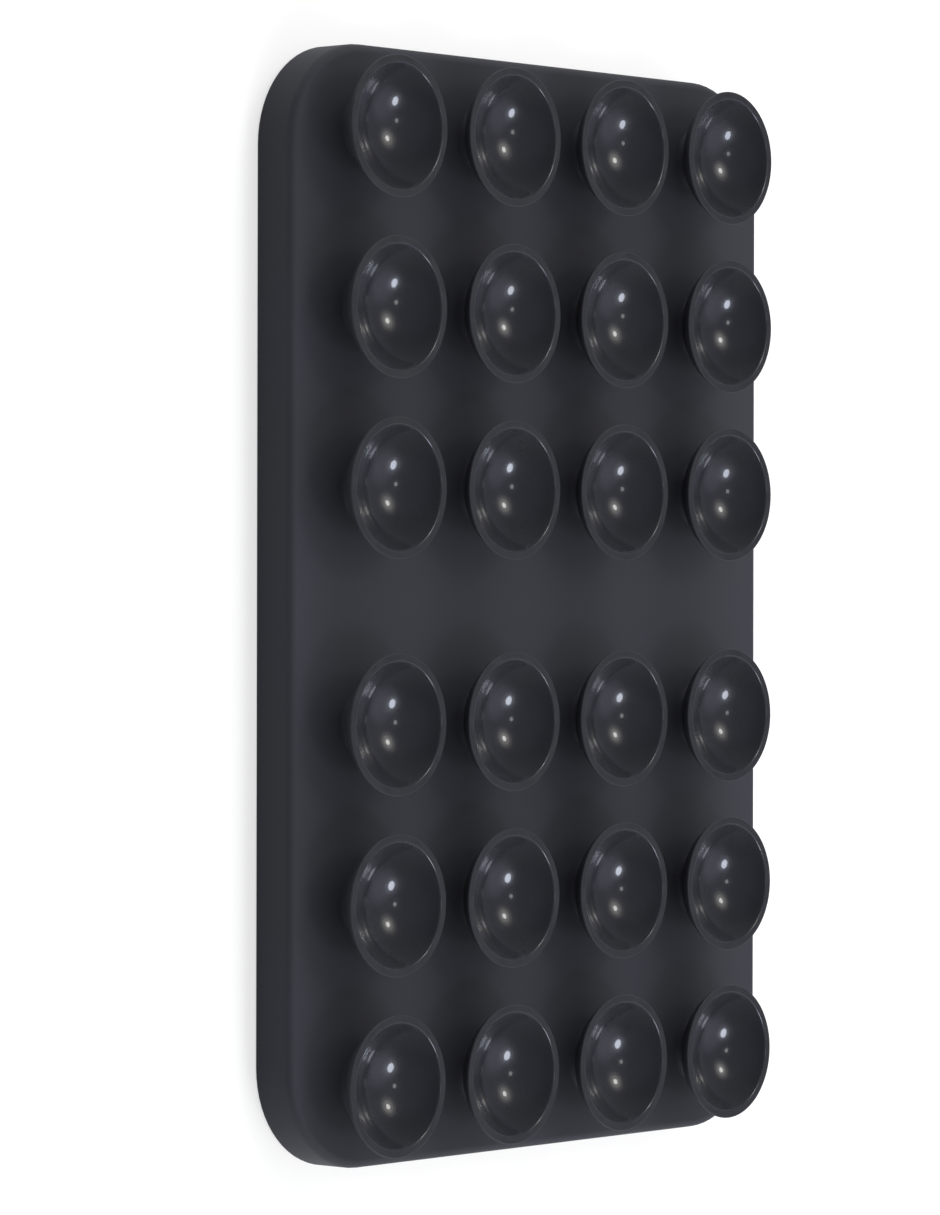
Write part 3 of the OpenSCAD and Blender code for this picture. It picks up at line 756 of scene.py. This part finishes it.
def white_paper():
    """Seamless white paper: it keeps the object's soft shadow, and is plain white further out."""
    grey = linear("#aaaaaa")
    white = linear("#ffffff")
    lift_to_white = 0.61
    shadow_reach = 120 * MM
    plain_from = 400 * MM
    material = bpy.data.materials.new("Paper, seamless white")
    material.use_nodes = True
    tree = material.node_tree
    tree.nodes.clear()
    place = add_node(tree, "ShaderNodeTexCoord").outputs["Object"]
    sheet = add_node(tree, "ShaderNodeBsdfDiffuse", {"Color": grey})
    seen = seen_directly(tree)
    lift = add_node(tree, "ShaderNodeMath", {"operation": "MULTIPLY", 1: lift_to_white}, {0: seen})
    lifted = add_node(tree, "ShaderNodeEmission", {"Color": white}, {"Strength": lift.outputs["Value"]})
    near = add_node(
        tree, "ShaderNodeAddShader", {}, {0: sheet.outputs["BSDF"], 1: lifted.outputs["Emission"]})
    plain = add_node(tree, "ShaderNodeEmission", {"Color": white, "Strength": 1.0})
    reach = add_node(tree, "ShaderNodeVectorMath", {"operation": "LENGTH"}, {0: place}).outputs["Value"]
    far = add_node(
        tree, "ShaderNodeMapRange",
        {"interpolation_type": "SMOOTHSTEP", "From Min": shadow_reach, "From Max": plain_from},
        {"Value": reach}).outputs["Result"]
    both = add_node(tree, "ShaderNodeMath", {"operation": "MULTIPLY"}, {0: far, 1: seen}).outputs["Value"]
    mixed = add_node(
        tree, "ShaderNodeMixShader", {}, {0: both, 1: near.outputs["Shader"], 2: plain.outputs["Emission"]})
    output = add_node(tree, "ShaderNodeOutputMaterial")
    tree.links.new(mixed.outputs["Shader"], output.inputs["Surface"])
    return material


def set_up_camera():
    """Camera at the photograph's angle, to the left of the pad and looking down at it."""
    tilt = math.radians(48.96)
    roll = -0.0019
    distance = 530.0 * MM
    side_offset = 3.05 * MM
    up_offset = -2.71 * MM
    frame_height_px = 1215
    focal_px = 5264
    centre_lift_px = 29.4
    sensor_mm = 36
    nearest = 10 * MM
    farthest = 20000 * MM
    forward = Vector((math.sin(tilt), 0, -math.cos(tilt)))
    right = Vector((math.cos(tilt), 0, math.sin(tilt)))
    up = Vector((0, 1, 0))
    data = bpy.data.cameras.new("Camera")
    data.sensor_width = sensor_mm
    data.lens = focal_px / frame_height_px * data.sensor_width
    data.shift_y = -centre_lift_px / frame_height_px
    data.clip_start = nearest
    data.clip_end = farthest
    camera = bpy.data.objects.new("Camera", data)
    bpy.context.scene.collection.objects.link(camera)
    turned_right = right * math.cos(roll) - up * math.sin(roll)
    turned_up = right * math.sin(roll) + up * math.cos(roll)
    axes = Matrix((turned_right, turned_up, -forward)).transposed()
    camera.matrix_world = axes.to_4x4()
    camera.location = -side_offset * right - up_offset * up - distance * forward
    bpy.context.scene.camera = camera


def lay_floor():
    """A round sheet of white paper under the pad."""
    floor_radius = 3000 * MM
    floor_sides = 96
    smooth_angle = 30
    floor = start_piece(
        bpy.ops.mesh.primitive_circle_add, "floor",
        vertices=floor_sides, radius=floor_radius, fill_type="NGON")
    finish_piece(floor, smooth_angle)
    paint(floor, white_paper())


def set_up_lamps(studio):
    """Five lamps that the bowls mirror, and two cards that only light the matt faces."""
    bluish, white, cream, ivory = "#e9efff", "#ffffff", "#fffaf2", "#fffdf8"
    add_lamp("Cool lamp", (199, -382, 672), (140, 180), studio.cool_power, bluish)
    add_lamp("Warm lamp", (278, 268, 668), (95, 95), studio.warm_power, ivory)
    add_lamp("Small lamp", (85, -73, 1038), (110, 110), studio.spark_power, white)
    add_lamp("Inner screen", (280, 270, 672), (240, 240), studio.screen_power, cream)
    add_lamp("Outer screen", (282, 272, 676), (370, 370), studio.screen_power, cream)
    top = add_lamp("Top card", (-175, 658, 150), (500, 180), studio.top_card_power, white)
    bottom = add_lamp("Bottom card", (-175, -658, 150), (500, 180), studio.bottom_card_power, white)
    for card in (top, bottom):
        card.visible_glossy = False


def set_up_stage():
    """Floor, world, lamps and camera."""
    studio = bpy.context.scene.pad_studio
    lay_floor()
    set_up_world(studio)
    set_up_lamps(studio)
    set_up_camera()
    bpy.context.scene.view_settings.view_transform = "Standard"


# Operators and panel

class PAD_OT_cups(bpy.types.Operator):
    """Model the suction cups"""
    bl_idname = "pad.cups"
    bl_label = "Suction cups"

    def execute(self, context):
        model_cups()
        return {"FINISHED"}


class PAD_OT_housing(bpy.types.Operator):
    """Finish the mat, the housing and its cover"""
    bl_idname = "pad.housing"
    bl_label = "Mat and housing"

    def execute(self, context):
        finish_housing()
        return {"FINISHED"}


class PAD_OT_coil(bpy.types.Operator):
    """Finish the charging coil and the sheets under it"""
    bl_idname = "pad.coil"
    bl_label = "Charging coil"

    def execute(self, context):
        finish_coil()
        return {"FINISHED"}


class PAD_OT_board(bpy.types.Operator):
    """Finish the circuit board and what it carries"""
    bl_idname = "pad.board"
    bl_label = "Circuit board"

    def execute(self, context):
        finish_board()
        return {"FINISHED"}


class PAD_OT_inlet(bpy.types.Operator):
    """Finish the supply inlet and the light pipe"""
    bl_idname = "pad.inlet"
    bl_label = "Inlet and light pipe"

    def execute(self, context):
        finish_inlet()
        return {"FINISHED"}


class PAD_OT_stage(bpy.types.Operator):
    """Set up floor, lamps and camera"""
    bl_idname = "pad.stage"
    bl_label = "Stage"

    def execute(self, context):
        set_up_stage()
        return {"FINISHED"}


STEPS = (PAD_OT_cups, PAD_OT_housing, PAD_OT_coil, PAD_OT_board, PAD_OT_inlet, PAD_OT_stage)


class PAD_PT_panel(bpy.types.Panel):
    """The steps and their settings"""
    bl_label = "Charging pad"
    bl_idname = "PAD_PT_panel"
    bl_space_type = "VIEW_3D"
    bl_region_type = "UI"
    bl_category = "Charging pad"

    def draw(self, context):
        for step in STEPS:
            self.layout.operator(step.bl_idname)
        for group in (context.scene.pad_cup, context.scene.pad_finish, context.scene.pad_studio):
            box = self.layout.box()
            for name in group.__annotations__:
                box.prop(group, name)


SETTINGS = {
    "pad_cup": CupSettings,
    "pad_finish": FinishSettings,
    "pad_studio": StudioSettings,
}


def register():
    """Registers the settings, the operators and the panel."""
    for group in SETTINGS.values():
        bpy.utils.register_class(group)
    for step in STEPS + (PAD_PT_panel,):
        bpy.utils.register_class(step)
    for name, group in SETTINGS.items():
        setattr(bpy.types.Scene, name, PointerProperty(type=group))


def unregister():
    """Takes them out again."""
    for name in SETTINGS:
        delattr(bpy.types.Scene, name)
    for item in (PAD_PT_panel,) + STEPS[::-1] + tuple(SETTINGS.values()):
        bpy.utils.unregister_class(item)


def main():
    """Builds the visual."""
    register()
    bpy.ops.pad.cups()
    bpy.ops.pad.housing()
    bpy.ops.pad.coil()
    bpy.ops.pad.board()
    bpy.ops.pad.inlet()
    bpy.ops.pad.stage()


if __name__ == "__main__":
    main()
